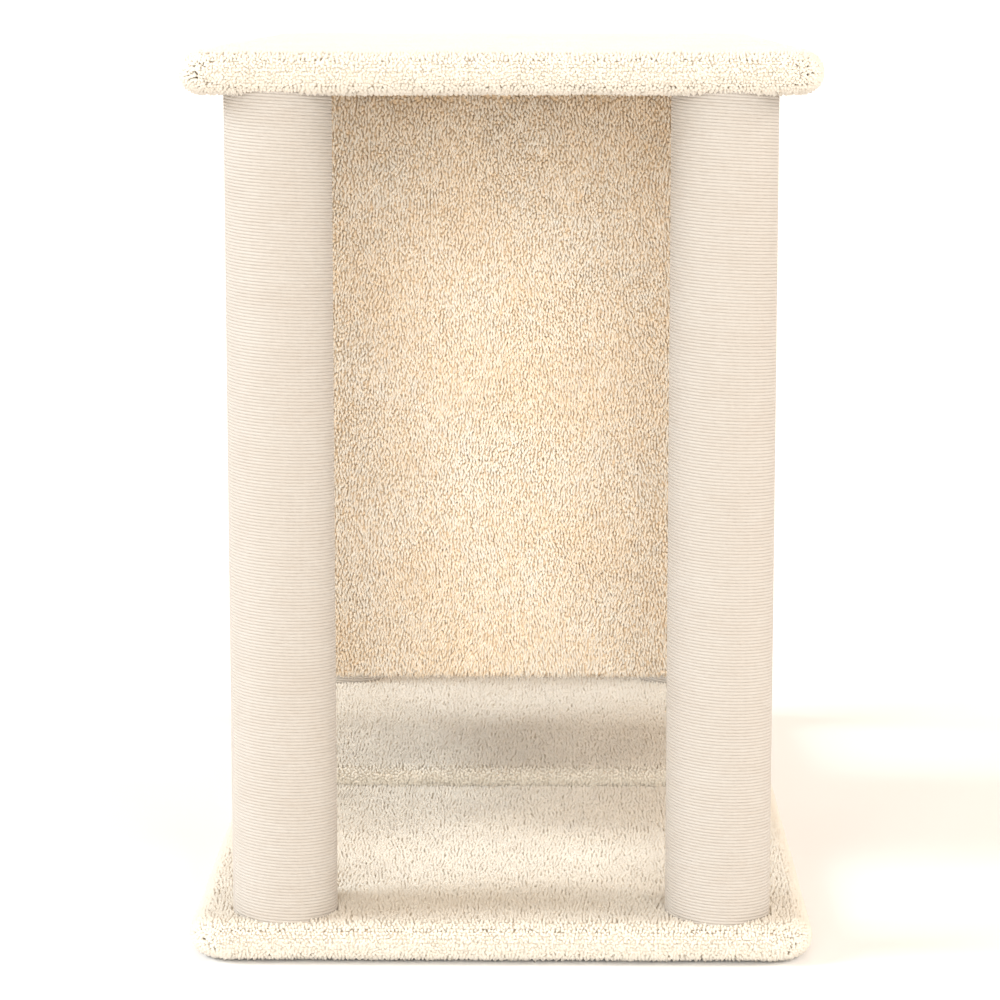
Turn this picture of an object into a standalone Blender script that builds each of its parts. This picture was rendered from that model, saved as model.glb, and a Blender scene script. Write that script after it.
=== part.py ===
"""Cat tree: two plush boards held apart by four wound posts, with a plush house hung under the top.

Metres, +Z up. The origin is on the floor under the middle of the base, and the front faces -Y.
"""

import math

import bmesh
import bpy

# Overall sizes
OVERALL_WIDTH = 0.350
OVERALL_LENGTH = 0.655
OVERALL_HEIGHT = 0.503

# Plush, and the clearance between touching pieces
PLUSH = 0.0045
GAP = 0.0003

# Base board and top board
CORE_THICKNESS = 0.015
CORE_EDGE_RADIUS = 0.002
BOARD_CORNER_RADIUS = 0.025
BOARD_EDGE_LAND = 0.0008  # flat left in the middle of each rounded edge
BOARD_HEM = 0.060  # how far the plush is turned under the board
LINER_THICKNESS = 0.001
BOARD_THICKNESS = CORE_THICKNESS + 2 * (PLUSH + GAP)
BOARD_EDGE_RADIUS = BOARD_THICKNESS / 2 - BOARD_EDGE_LAND

# Step board, on the rear part of the base
STEP_CORE_THICKNESS = 0.0071
STEP_LENGTH = 0.326
STEP_INSET = 0.005
STEP_CORNER_RADIUS = 0.020
STEP_EDGE_RADIUS = 0.0052
STEP_BOTTOM = BOARD_THICKNESS + GAP
STEP_TOP = STEP_BOTTOM + STEP_CORE_THICKNESS + GAP + PLUSH

# Posts
POST_RADIUS = 0.0295
POST_SIDE_INSET = 0.0240  # from the board's side to the post's side
POST_END_INSET = 0.0075  # from the board's end to the post's side
WRAP_THICKNESS = 0.003
TUBE_WALL = 0.004
PLUG_HEIGHT = 0.020
TUBE_RADIUS = POST_RADIUS - WRAP_THICKNESS - GAP
PLUG_RADIUS = TUBE_RADIUS - TUBE_WALL - GAP
POST_X = OVERALL_WIDTH / 2 - POST_SIDE_INSET - POST_RADIUS
POST_Y = OVERALL_LENGTH / 2 - POST_END_INSET - POST_RADIUS
POST_TOP = OVERALL_HEIGHT - BOARD_THICKNESS - GAP

# Bolts, washers, studs and tee nuts
BOLT_RADIUS = 0.004
BOLT_HEAD_RADIUS = 0.0085
BOLT_HEAD_HEIGHT = 0.0030
BOLT_SOCKET_RADIUS = 0.0029
BOLT_SOCKET_DEPTH = 0.0020
BOLT_GRIP = 0.017  # length of bolt or stud inside a plug
WASHER_RADIUS = 0.011
WASHER_THICKNESS = 0.0015
NUT_FLANGE_RADIUS = 0.011
NUT_FLANGE_THICKNESS = 0.0015
NUT_BARREL_WALL = 0.0013
NUT_HEIGHT = 0.011
COUNTERBORE_CLEARANCE = 0.0015  # around the washer
BOLT_HOLE_RADIUS = BOLT_RADIUS + GAP
NUT_BARREL_RADIUS = BOLT_HOLE_RADIUS + NUT_BARREL_WALL
COUNTERBORE_RADIUS = WASHER_RADIUS + COUNTERBORE_CLEARANCE
COUNTERBORE_TOP = PLUSH + GAP + BOLT_HEAD_HEIGHT + WASHER_THICKNESS + 3 * GAP

# House
HOUSE_SIDE_INSET = 0.030  # from the boards' sides
HOUSE_DEPTH = 0.277
HOUSE_ABOVE_BASE = 0.0975  # room left under the house
HOUSE_CORNER_RADIUS = 0.008
HOUSE_EDGE_RADIUS = 0.006
PANEL_THICKNESS = 0.009
LINING_THICKNESS = 0.003
ENTRANCE_RADIUS = 0.085
ENTRANCE_ABOVE_FLOOR = 0.045  # from the house's underside to the entrance's lower edge
HOUSE_WIDTH = OVERALL_WIDTH - 2 * HOUSE_SIDE_INSET
HOUSE_TOP = OVERALL_HEIGHT - BOARD_THICKNESS - GAP
HOUSE_BOTTOM = BOARD_THICKNESS + HOUSE_ABOVE_BASE
ENTRANCE_HEIGHT = HOUSE_BOTTOM + ENTRANCE_ABOVE_FLOOR + ENTRANCE_RADIUS
BOX_HALF_WIDTH = HOUSE_WIDTH / 2 - PLUSH - GAP
BOX_HALF_DEPTH = HOUSE_DEPTH / 2 - PLUSH - GAP
BOX_BOTTOM = HOUSE_BOTTOM + PLUSH + GAP
LINING_HALF_WIDTH = BOX_HALF_WIDTH - PANEL_THICKNESS - GAP
LINING_HALF_DEPTH = BOX_HALF_DEPTH - PANEL_THICKNESS - GAP
LINING_BOTTOM = BOX_BOTTOM + PANEL_THICKNESS + GAP

# Angle brackets that hang the house, and their screws
BRACKET_LEG = 0.026
BRACKET_WIDTH = 0.020
BRACKET_THICKNESS = 0.002
BRACKET_SIDE_INSET = 0.038  # from the room's side to the bracket
SCREW_RADIUS = 0.0018
SCREW_HEAD_RADIUS = 0.0036
SCREW_HEAD_HEIGHT = 0.0020
SCREW_LENGTH_UP = 0.0155
SCREW_LENGTH_WALL = 0.0115
SCREW_POINT = 0.0020
SCREW_HOLE_RADIUS = SCREW_RADIUS + GAP
BRACKET_X = LINING_HALF_WIDTH - LINING_THICKNESS - BRACKET_SIDE_INSET - BRACKET_WIDTH / 2

# How finely round shapes are faceted
CORNER_SEGMENTS = 6
EDGE_SEGMENTS = 5
CORE_EDGE_SEGMENTS = 2
POST_SEGMENTS = 32
TUBE_SEGMENTS = 24
SMALL_SEGMENTS = 16
ENTRANCE_SEGMENTS = 40
HEX_SIDES = 6
MERGE_DISTANCE = 0.00001
SMOOTH_ANGLE = math.radians(35)
CUT_PAST = 0.002  # how far a cutter runs past the face it opens

# Finishes: colour, roughness and metallic value
PLUSH_FINISH = ((0.88, 0.78, 0.62), 0.95, 0.0)
LINING_FINISH = ((0.86, 0.77, 0.63), 0.95, 0.0)
WEBBING_FINISH = ((0.84, 0.76, 0.67), 0.90, 0.0)
WOOD_FINISH = ((0.56, 0.41, 0.26), 0.80, 0.0)
CARD_FINISH = ((0.48, 0.35, 0.22), 0.85, 0.0)
LINER_FINISH = ((0.80, 0.76, 0.68), 0.90, 0.0)
PLUG_FINISH = ((0.75, 0.70, 0.60), 0.55, 0.0)
STEEL_FINISH = ((0.60, 0.60, 0.60), 0.35, 1.0)


def clear_scene():
    for obj in list(bpy.data.objects):
        bpy.data.objects.remove(obj, do_unlink=True)


def new_collection(name):
    collection = bpy.data.collections.new(name)
    bpy.context.scene.collection.children.link(collection)
    return collection


clear_scene()
PARTS = new_collection("cat_tree")
CUTTERS = new_collection("cutters")


def finish_material(name, finish):
    colour, roughness, metallic = finish
    material = bpy.data.materials.new(name + "_finish")
    material.use_nodes = True
    shader = material.node_tree.nodes["Principled BSDF"]
    shader.inputs["Base Color"].default_value = (*colour, 1.0)
    shader.inputs["Roughness"].default_value = roughness
    shader.inputs["Metallic"].default_value = metallic
    return material


def make_part(obj, finish):
    """Files a finished shape as one piece of the object, with its own material."""
    PARTS.objects.link(obj)
    obj.data.materials.append(finish_material(obj.name, finish))
    return obj


def make_cutter(obj):
    CUTTERS.objects.link(obj)
    obj.hide_render = True
    obj.display_type = "WIRE"
    return obj


def boolean(target, cutter, operation="DIFFERENCE"):
    modifier = target.modifiers.new(f"{operation.lower()} {cutter.name}", "BOOLEAN")
    modifier.operation = operation
    modifier.solver = "EXACT"
    modifier.object = cutter


def object_from_bmesh(name, shape):
    bmesh.ops.recalc_face_normals(shape, faces=shape.faces)
    mesh = bpy.data.meshes.new(name)
    shape.to_mesh(mesh)
    shape.free()
    return bpy.data.objects.new(name, mesh)


def bevel(shape, edges, radius, segments):
    bmesh.ops.bevel(
        shape,
        geom=edges,
        offset=radius,
        segments=segments,
        profile=0.5,
        affect="EDGES",
        clamp_overlap=False,
    )


def level_edges(shape, height):
    """The edges of a slab's top or bottom outline."""
    return [e for e in shape.edges if all(abs(v.co.z - height) < MERGE_DISTANCE for v in e.verts)]


def slab(name, low, high, corner_radius=0.0, top_radius=0.0, bottom_radius=0.0, segments=EDGE_SEGMENTS):
    """A block between two corners, with rounded upright, top and bottom edges where asked."""
    shape = bmesh.new()
    bmesh.ops.create_cube(shape, size=1.0)
    for vertex in shape.verts:
        for axis in range(3):
            vertex.co[axis] = high[axis] if vertex.co[axis] > 0 else low[axis]
    if corner_radius > 0:
        upright = [e for e in shape.edges if abs(e.verts[0].co.z - e.verts[1].co.z) > MERGE_DISTANCE]
        bevel(shape, upright, corner_radius, CORNER_SEGMENTS)
    if top_radius > 0:
        bevel(shape, level_edges(shape, high[2]), top_radius, segments)
    if bottom_radius > 0:
        bevel(shape, level_edges(shape, low[2]), bottom_radius, segments)
    obj = object_from_bmesh(name, shape)
    obj.data.shade_smooth()
    obj.data.set_sharp_from_angle(angle=SMOOTH_ANGLE)
    return obj


def centred_slab(name, half_width, half_length, bottom, top, **rounding):
    return slab(name, (-half_width, -half_length, bottom), (half_width, half_length, top), **rounding)


def turned(name, profile, place, segments, closed=False):
    """A shape turned about Z: the profile's points are (radius, height), down the outer side."""
    mesh = bpy.data.meshes.new(name)
    points = [(radius, 0.0, height) for radius, height in profile]
    edges = [(i, i + 1) for i in range(len(points) - 1)]
    if closed:
        edges.append((len(points) - 1, 0))
    mesh.from_pydata(points, edges, [])
    obj = bpy.data.objects.new(name, mesh)
    obj.location = place
    screw = obj.modifiers.new("turn", "SCREW")
    screw.steps = segments
    screw.render_steps = segments
    screw.use_merge_vertices = True
    screw.merge_threshold = MERGE_DISTANCE
    return obj


def ring(name, outer, inner, bottom, top, place, segments):
    profile = [(outer, top), (outer, bottom), (inner, bottom), (inner, top)]
    return turned(name, profile, place, segments, closed=True)


def rod(name, radius, bottom, top, place, segments):
    profile = [(0.0, top), (radius, top), (radius, bottom), (0.0, bottom)]
    return turned(name, profile, place, segments)


def bolt_way(name, place, top):
    """Cutter for a bolt from below: an access hole up to the head's seat, then the bolt's own hole."""
    profile = [
        (0.0, top),
        (BOLT_HOLE_RADIUS, top),
        (BOLT_HOLE_RADIUS, COUNTERBORE_TOP),
        (COUNTERBORE_RADIUS, COUNTERBORE_TOP),
        (COUNTERBORE_RADIUS, -CUT_PAST),
        (0.0, -CUT_PAST),
    ]
    return make_cutter(turned(name, profile, place, SMALL_SEGMENTS))


def nut_way(name, place, core_bottom, core_top):
    """Cutter for a tee nut sunk in the top board's core, and for the stud below it."""
    seat = core_top - NUT_FLANGE_THICKNESS - 2 * GAP
    flange = NUT_FLANGE_RADIUS + GAP
    barrel = NUT_BARREL_RADIUS + GAP
    profile = [
        (0.0, core_top + GAP / 2),
        (flange, core_top + GAP / 2),
        (flange, seat),
        (barrel, seat),
        (barrel, core_bottom - GAP / 2),
        (BOLT_HOLE_RADIUS, core_bottom - GAP / 2),
        (BOLT_HOLE_RADIUS, POST_TOP - CUT_PAST),
        (0.0, POST_TOP - CUT_PAST),
    ]
    return make_cutter(turned(name, profile, place, SMALL_SEGMENTS))


def post_places():
    """The name, place and base height of each post. The rear posts stand on the step board."""
    for end, side_y, seat in (("front", -1, BOARD_THICKNESS), ("rear", 1, STEP_TOP)):
        for side, side_x in (("left", -1), ("right", 1)):
            yield f"{end}_{side}", (side_x * POST_X, side_y * POST_Y, 0.0), seat + GAP


def plush_board(name, bottom, ways):
    """A board core wrapped in plush, which is turned under by a hem and leaves the middle open."""
    half_width = OVERALL_WIDTH / 2
    half_length = OVERALL_LENGTH / 2
    core_inset = PLUSH + GAP
    core_bottom = bottom + core_inset
    core_corner = BOARD_CORNER_RADIUS - core_inset
    core = centred_slab(
        name + "_board",
        half_width - core_inset,
        half_length - core_inset,
        core_bottom,
        core_bottom + CORE_THICKNESS,
        corner_radius=core_corner,
        top_radius=CORE_EDGE_RADIUS,
        bottom_radius=CORE_EDGE_RADIUS,
        segments=CORE_EDGE_SEGMENTS,
    )
    cover = centred_slab(
        name + "_plush_cover",
        half_width,
        half_length,
        bottom,
        bottom + BOARD_THICKNESS,
        corner_radius=BOARD_CORNER_RADIUS,
        top_radius=BOARD_EDGE_RADIUS,
        bottom_radius=BOARD_EDGE_RADIUS,
    )
    cavity = centred_slab(
        name + "_cavity",
        half_width - PLUSH,
        half_length - PLUSH,
        bottom + PLUSH,
        bottom + BOARD_THICKNESS - PLUSH,
        corner_radius=core_corner + GAP,
        top_radius=CORE_EDGE_RADIUS,
        bottom_radius=CORE_EDGE_RADIUS,
        segments=CORE_EDGE_SEGMENTS,
    )
    middle = centred_slab(
        name + "_underside_opening",
        half_width - BOARD_HEM,
        half_length - BOARD_HEM,
        bottom - CUT_PAST,
        core_bottom,
    )
    make_part(core, WOOD_FINISH)
    make_part(cover, PLUSH_FINISH)
    boolean(cover, make_cutter(cavity))
    boolean(cover, make_cutter(middle))
    for way in ways:
        boolean(core, way)
        boolean(cover, way)


def underside_panel(name, bottom, thickness, finish):
    """The sheet that closes the opening the hem leaves under a board."""
    panel = centred_slab(
        name,
        OVERALL_WIDTH / 2 - BOARD_HEM - GAP,
        OVERALL_LENGTH / 2 - BOARD_HEM - GAP,
        bottom,
        bottom + thickness,
    )
    return make_part(panel, finish)


def make_step(ways):
    half_width = OVERALL_WIDTH / 2 - STEP_INSET
    rear = OVERALL_LENGTH / 2 - STEP_INSET
    front = rear - STEP_LENGTH
    core_inset = PLUSH + GAP
    core = slab(
        "step_board",
        (-half_width + core_inset, front + core_inset, STEP_BOTTOM),
        (half_width - core_inset, rear - core_inset, STEP_BOTTOM + STEP_CORE_THICKNESS),
        corner_radius=STEP_CORNER_RADIUS - core_inset,
    )
    cover = slab(
        "step_plush_cover",
        (-half_width, front, STEP_BOTTOM),
        (half_width, rear, STEP_TOP),
        corner_radius=STEP_CORNER_RADIUS,
        top_radius=STEP_EDGE_RADIUS,
    )
    cavity = slab(
        "step_cavity",
        (-half_width + PLUSH, front + PLUSH, STEP_BOTTOM - CUT_PAST),
        (half_width - PLUSH, rear - PLUSH, STEP_TOP - PLUSH),
        corner_radius=STEP_CORNER_RADIUS - PLUSH,
    )
    make_part(core, WOOD_FINISH)
    make_part(cover, PLUSH_FINISH)
    boolean(cover, make_cutter(cavity))
    for way in ways:
        boolean(core, way)
        boolean(cover, way)


def make_bolt(name, place, top):
    """A flat-headed bolt with a hexagon socket, its head up inside the base board."""
    seat = COUNTERBORE_TOP - WASHER_THICKNESS - 2 * GAP
    head_bottom = seat - BOLT_HEAD_HEIGHT
    profile = [
        (0.0, top),
        (BOLT_RADIUS, top),
        (BOLT_RADIUS, seat),
        (BOLT_HEAD_RADIUS, seat),
        (BOLT_HEAD_RADIUS, head_bottom),
        (0.0, head_bottom),
    ]
    bolt = make_part(turned(name, profile, place, SMALL_SEGMENTS), STEEL_FINISH)
    socket_top = head_bottom + BOLT_SOCKET_DEPTH
    socket = rod(name + "_socket", BOLT_SOCKET_RADIUS, head_bottom - CUT_PAST, socket_top, place, HEX_SIDES)
    boolean(bolt, make_cutter(socket))


def make_tee_nut(name, place, core_top):
    flange_top = core_top - GAP
    flange_bottom = flange_top - NUT_FLANGE_THICKNESS
    profile = [
        (NUT_FLANGE_RADIUS, flange_top),
        (NUT_FLANGE_RADIUS, flange_bottom),
        (NUT_BARREL_RADIUS, flange_bottom),
        (NUT_BARREL_RADIUS, flange_top - NUT_HEIGHT),
        (BOLT_HOLE_RADIUS, flange_top - NUT_HEIGHT),
        (BOLT_HOLE_RADIUS, flange_top),
    ]
    make_part(turned(name, profile, place, SMALL_SEGMENTS, closed=True), STEEL_FINISH)


def make_post(name, place, bottom):
    """One post: tube, webbing, two plugs, the bolt from below and the stud and tee nut above."""
    tube = (TUBE_RADIUS, TUBE_RADIUS - TUBE_WALL)
    wrap = (POST_RADIUS, POST_RADIUS - WRAP_THICKNESS)
    plug = (PLUG_RADIUS, BOLT_HOLE_RADIUS)
    core_top = OVERALL_HEIGHT - PLUSH - GAP
    washer_top = COUNTERBORE_TOP - GAP
    washer_bottom = washer_top - WASHER_THICKNESS
    make_part(ring(name + "_tube", *tube, bottom, POST_TOP, place, TUBE_SEGMENTS), CARD_FINISH)
    make_part(ring(name + "_wrap", *wrap, bottom, POST_TOP, place, POST_SEGMENTS), WEBBING_FINISH)
    make_part(
        ring(name + "_bottom_plug", *plug, bottom, bottom + PLUG_HEIGHT, place, TUBE_SEGMENTS),
        PLUG_FINISH,
    )
    make_part(
        ring(name + "_top_plug", *plug, POST_TOP - PLUG_HEIGHT, POST_TOP, place, TUBE_SEGMENTS),
        PLUG_FINISH,
    )
    make_part(
        ring(
            name + "_washer",
            WASHER_RADIUS,
            BOLT_HOLE_RADIUS,
            washer_bottom,
            washer_top,
            place,
            SMALL_SEGMENTS,
        ),
        STEEL_FINISH,
    )
    make_bolt(name + "_bolt", place, bottom + BOLT_GRIP)
    make_part(
        rod(
            name + "_stud",
            BOLT_RADIUS,
            POST_TOP - BOLT_GRIP,
            core_top - 2 * GAP,
            place,
            SMALL_SEGMENTS,
        ),
        STEEL_FINISH,
    )
    make_tee_nut(name + "_tee_nut", place, core_top)


def across(name, radius, x_low, x_high, segments):
    """A cylinder along X on the entrances' centre line."""
    shape = bmesh.new()
    bmesh.ops.create_cone(
        shape,
        cap_ends=True,
        segments=segments,
        radius1=radius,
        radius2=radius,
        depth=x_high - x_low,
    )
    obj = object_from_bmesh(name, shape)
    obj.rotation_euler = (0.0, math.pi / 2, 0.0)
    obj.location = ((x_low + x_high) / 2, 0.0, ENTRANCE_HEIGHT)
    return make_cutter(obj)


def make_house_boards():
    """The five boards of the box: the side walls run full depth, and the rest fits between them."""
    inner_width = BOX_HALF_WIDTH - PANEL_THICKNESS - GAP
    inner_depth = BOX_HALF_DEPTH - PANEL_THICKNESS - GAP
    passage = across(
        "house_wall_entrances",
        ENTRANCE_RADIUS + PLUSH + GAP,
        -HOUSE_WIDTH,
        HOUSE_WIDTH,
        ENTRANCE_SEGMENTS,
    )
    for side, sign in (("left", -1), ("right", 1)):
        x_faces = sorted((sign * BOX_HALF_WIDTH, sign * (BOX_HALF_WIDTH - PANEL_THICKNESS)))
        low = (x_faces[0], -BOX_HALF_DEPTH, BOX_BOTTOM)
        high = (x_faces[1], BOX_HALF_DEPTH, HOUSE_TOP)
        wall = make_part(slab(f"house_{side}_wall", low, high), WOOD_FINISH)
        boolean(wall, passage)
    for end, sign in (("front", -1), ("rear", 1)):
        y_faces = sorted((sign * BOX_HALF_DEPTH, sign * (BOX_HALF_DEPTH - PANEL_THICKNESS)))
        low = (-inner_width, y_faces[0], BOX_BOTTOM)
        high = (inner_width, y_faces[1], HOUSE_TOP)
        make_part(slab(f"house_{end}_wall", low, high), WOOD_FINISH)
    floor_top = BOX_BOTTOM + PANEL_THICKNESS
    make_part(centred_slab("house_floor", inner_width, inner_depth, BOX_BOTTOM, floor_top), WOOD_FINISH)


def make_house_plush():
    """The outer cover, turned in through both entrances, and the lining of the room."""
    entrance = across("house_entrances", ENTRANCE_RADIUS, -HOUSE_WIDTH, HOUSE_WIDTH, ENTRANCE_SEGMENTS)
    cover = centred_slab(
        "house_plush_cover",
        HOUSE_WIDTH / 2,
        HOUSE_DEPTH / 2,
        HOUSE_BOTTOM,
        HOUSE_TOP,
        corner_radius=HOUSE_CORNER_RADIUS,
        bottom_radius=HOUSE_EDGE_RADIUS,
    )
    cavity = centred_slab(
        "house_cover_cavity",
        HOUSE_WIDTH / 2 - PLUSH,
        HOUSE_DEPTH / 2 - PLUSH,
        HOUSE_BOTTOM + PLUSH,
        HOUSE_TOP + CUT_PAST,
    )
    make_part(cover, PLUSH_FINISH)
    boolean(cover, make_cutter(cavity))
    for side, sign in (("left", -1), ("right", 1)):
        inner_end = BOX_HALF_WIDTH - PANEL_THICKNESS
        outer_end = HOUSE_WIDTH / 2 - PLUSH / 2
        x_low, x_high = sorted((sign * inner_end, sign * outer_end))
        collar = across(
            f"house_{side}_collar",
            ENTRANCE_RADIUS + PLUSH,
            x_low,
            x_high,
            ENTRANCE_SEGMENTS,
        )
        boolean(cover, collar, "UNION")
    boolean(cover, entrance)
    lining = centred_slab(
        "house_lining",
        LINING_HALF_WIDTH,
        LINING_HALF_DEPTH,
        LINING_BOTTOM,
        HOUSE_TOP,
    )
    room = centred_slab(
        "house_room",
        LINING_HALF_WIDTH - LINING_THICKNESS,
        LINING_HALF_DEPTH - LINING_THICKNESS,
        LINING_BOTTOM + LINING_THICKNESS,
        HOUSE_TOP + CUT_PAST,
    )
    make_part(lining, LINING_FINISH)
    boolean(lining, make_cutter(room))
    boolean(lining, entrance)
    return lining


def screw_profile(length):
    """A pan-head wood screw, point up: its head's underside is at height 0."""
    return [
        (0.0, length),
        (SCREW_RADIUS, length - SCREW_POINT),
        (SCREW_RADIUS, 0.0),
        (SCREW_HEAD_RADIUS, 0.0),
        (SCREW_HEAD_RADIUS, -SCREW_HEAD_HEIGHT),
        (0.0, -SCREW_HEAD_HEIGHT),
    ]


def make_screw(name, head_seat, quarter_turn, length, holed):
    """A wood screw and its pilot hole in each piece it passes. A quarter turn about X lays it level."""
    screw = turned(name, screw_profile(length), head_seat, SMALL_SEGMENTS)
    screw.rotation_euler = (quarter_turn, 0.0, 0.0)
    make_part(screw, STEEL_FINISH)
    hole = rod(
        name + "_hole",
        SCREW_HOLE_RADIUS,
        -BRACKET_THICKNESS,
        length + GAP,
        head_seat,
        SMALL_SEGMENTS,
    )
    hole.rotation_euler = (quarter_turn, 0.0, 0.0)
    make_cutter(hole)
    for piece in holed:
        boolean(piece, hole)


def make_bracket(name, x_place, sign, lining):
    """An angle bracket in the room's upper corner, screwed up into the top board and to the wall."""
    top = HOUSE_TOP
    wall_face = LINING_HALF_DEPTH - LINING_THICKNESS - GAP
    y_outer = sign * wall_face
    y_inner = sign * (wall_face - BRACKET_LEG)
    y_low, y_high = sorted((y_outer, y_inner))
    x_low = x_place - BRACKET_WIDTH / 2
    x_high = x_place + BRACKET_WIDTH / 2
    bracket = make_part(slab(name, (x_low, y_low, top - BRACKET_LEG), (x_high, y_high, top)), STEEL_FINISH)
    notch_outer = sign * (wall_face - BRACKET_THICKNESS)
    notch_inner = sign * (wall_face - BRACKET_LEG - CUT_PAST)
    notch_low, notch_high = sorted((notch_outer, notch_inner))
    notch = slab(
        name + "_notch",
        (x_low - CUT_PAST, notch_low, top - BRACKET_LEG - CUT_PAST),
        (x_high + CUT_PAST, notch_high, top - BRACKET_THICKNESS),
    )
    boolean(bracket, make_cutter(notch))
    screw_offset = (BRACKET_LEG + BRACKET_THICKNESS) / 2
    head_gap = BRACKET_THICKNESS + GAP
    up_seat = (x_place, sign * (wall_face - screw_offset), top - head_gap)
    wall_seat = (x_place, sign * (wall_face - head_gap), top - screw_offset)
    board = bpy.data.objects["top_board"]
    underside = bpy.data.objects["top_underside_plush"]
    end = "rear" if sign > 0 else "front"
    wall = bpy.data.objects[f"house_{end}_wall"]
    make_screw(name + "_board_screw", up_seat, 0.0, SCREW_LENGTH_UP, (bracket, underside, board))
    make_screw(
        name + "_wall_screw",
        wall_seat,
        -sign * math.pi / 2,
        SCREW_LENGTH_WALL,
        (bracket, lining, wall),
    )


def main():
    top_bottom = OVERALL_HEIGHT - BOARD_THICKNESS
    core_bottom = top_bottom + PLUSH + GAP
    posts = list(post_places())
    bolt_ways = [bolt_way(f"{name}_bolt_way", place, seat + CUT_PAST) for name, place, seat in posts]
    nut_ways = [
        nut_way(f"{name}_nut_way", place, core_bottom, core_bottom + CORE_THICKNESS)
        for name, place, _ in posts
    ]
    plush_board("base", 0.0, bolt_ways)
    liner_bottom = PLUSH - LINER_THICKNESS
    underside_panel("base_liner", liner_bottom, LINER_THICKNESS, LINER_FINISH)
    make_step(bolt_ways[2:])
    plush_board("top", top_bottom, nut_ways)
    underside_panel("top_underside_plush", top_bottom, PLUSH, PLUSH_FINISH)
    for name, place, seat in posts:
        make_post(name, place, seat)
    make_house_boards()
    lining = make_house_plush()
    for end, sign in (("front", -1), ("rear", 1)):
        for side, x_place in (("left", -BRACKET_X), ("right", BRACKET_X)):
            make_bracket(f"bracket_{end}_{side}", x_place, sign, lining)


main()
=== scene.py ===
"""The looks of the cat tree: pile on every plush cover, webbing wound round the posts, and hardware."""

from __future__ import annotations

import logging
import math
from dataclasses import dataclass
from enum import Enum
from typing import Callable, Union

import bmesh
import bpy
import numpy as np
from mathutils import Matrix, Vector, noise


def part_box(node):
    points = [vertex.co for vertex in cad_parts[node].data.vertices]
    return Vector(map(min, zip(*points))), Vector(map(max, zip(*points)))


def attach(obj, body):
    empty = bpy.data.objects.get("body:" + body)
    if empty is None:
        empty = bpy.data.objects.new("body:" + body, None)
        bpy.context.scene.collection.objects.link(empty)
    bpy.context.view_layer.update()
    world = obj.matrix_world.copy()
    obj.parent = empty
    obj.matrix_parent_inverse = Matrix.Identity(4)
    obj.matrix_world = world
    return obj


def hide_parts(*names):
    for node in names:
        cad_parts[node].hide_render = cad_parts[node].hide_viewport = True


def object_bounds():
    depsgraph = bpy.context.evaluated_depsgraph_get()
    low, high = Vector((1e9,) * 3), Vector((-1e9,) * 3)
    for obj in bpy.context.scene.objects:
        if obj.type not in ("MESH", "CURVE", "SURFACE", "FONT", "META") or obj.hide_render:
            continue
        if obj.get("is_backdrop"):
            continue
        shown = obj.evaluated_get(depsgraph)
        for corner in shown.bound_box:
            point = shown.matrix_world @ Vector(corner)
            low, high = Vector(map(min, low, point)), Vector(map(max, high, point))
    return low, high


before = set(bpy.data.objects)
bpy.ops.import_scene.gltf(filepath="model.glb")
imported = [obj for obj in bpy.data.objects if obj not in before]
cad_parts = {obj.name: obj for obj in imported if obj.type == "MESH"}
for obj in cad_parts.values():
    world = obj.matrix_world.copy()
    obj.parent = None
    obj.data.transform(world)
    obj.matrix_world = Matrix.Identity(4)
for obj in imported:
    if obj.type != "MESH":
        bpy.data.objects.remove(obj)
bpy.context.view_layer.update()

logging.basicConfig(level=logging.INFO, format="%(name)s: %(message)s")
LOG = logging.getLogger("cat_tree")

Colour = tuple[float, float, float]
Corner = tuple[float, float, float]
BODY = "root"
POSTS = ("front_left", "front_right", "rear_left", "rear_right")
GAP = 0.0003
LINING = 0.003
MERGE = 0.00001


class Pattern(Enum):
    """How a hard finish varies over its surface."""

    SPANGLE = "spangle"
    CHIPS = "chips"
    CARD = "card"
    MOULDED = "moulded"


def operator(kind: str, swapped: bool = False) -> Callable[[Value, Number], Value]:
    """Returns a method that adds one Math node. Swapped puts the other number first."""

    def method(self: Value, other: Number) -> Value:
        """Adds the Math node and returns its result."""
        first, second = (other, self) if swapped else (self, other)
        return self.nodes.value("ShaderNodeMath", {"operation": kind}, {0: first, 1: second})

    return method


class Value:
    """One output of a node tree, on which Python's operators add Math nodes."""

    def __init__(self, nodes: Nodes, socket: bpy.types.NodeSocket) -> None:
        """Wraps an output socket of the given tree."""
        self.nodes = nodes
        self.socket = socket

    __add__ = __radd__ = operator("ADD")
    __mul__ = __rmul__ = operator("MULTIPLY")
    __sub__ = operator("SUBTRACT")
    __rsub__ = operator("SUBTRACT", swapped=True)
    __truediv__ = operator("DIVIDE")
    __rtruediv__ = operator("DIVIDE", swapped=True)
    above = operator("GREATER_THAN")
    below = operator("LESS_THAN")

    def magnitude(self) -> Value:
        """Returns this without its sign."""
        return self.nodes.value("ShaderNodeMath", {"operation": "ABSOLUTE"}, {0: self})

    def clamped(self) -> Value:
        """Returns this, kept between 0 and 1."""
        return self.nodes.value("ShaderNodeClamp", {}, {"Value": self})


Number = Union[Value, float]
Linked = Union[Value, bpy.types.NodeSocket, float, int, bool, str, tuple, bpy.types.ID]


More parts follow.
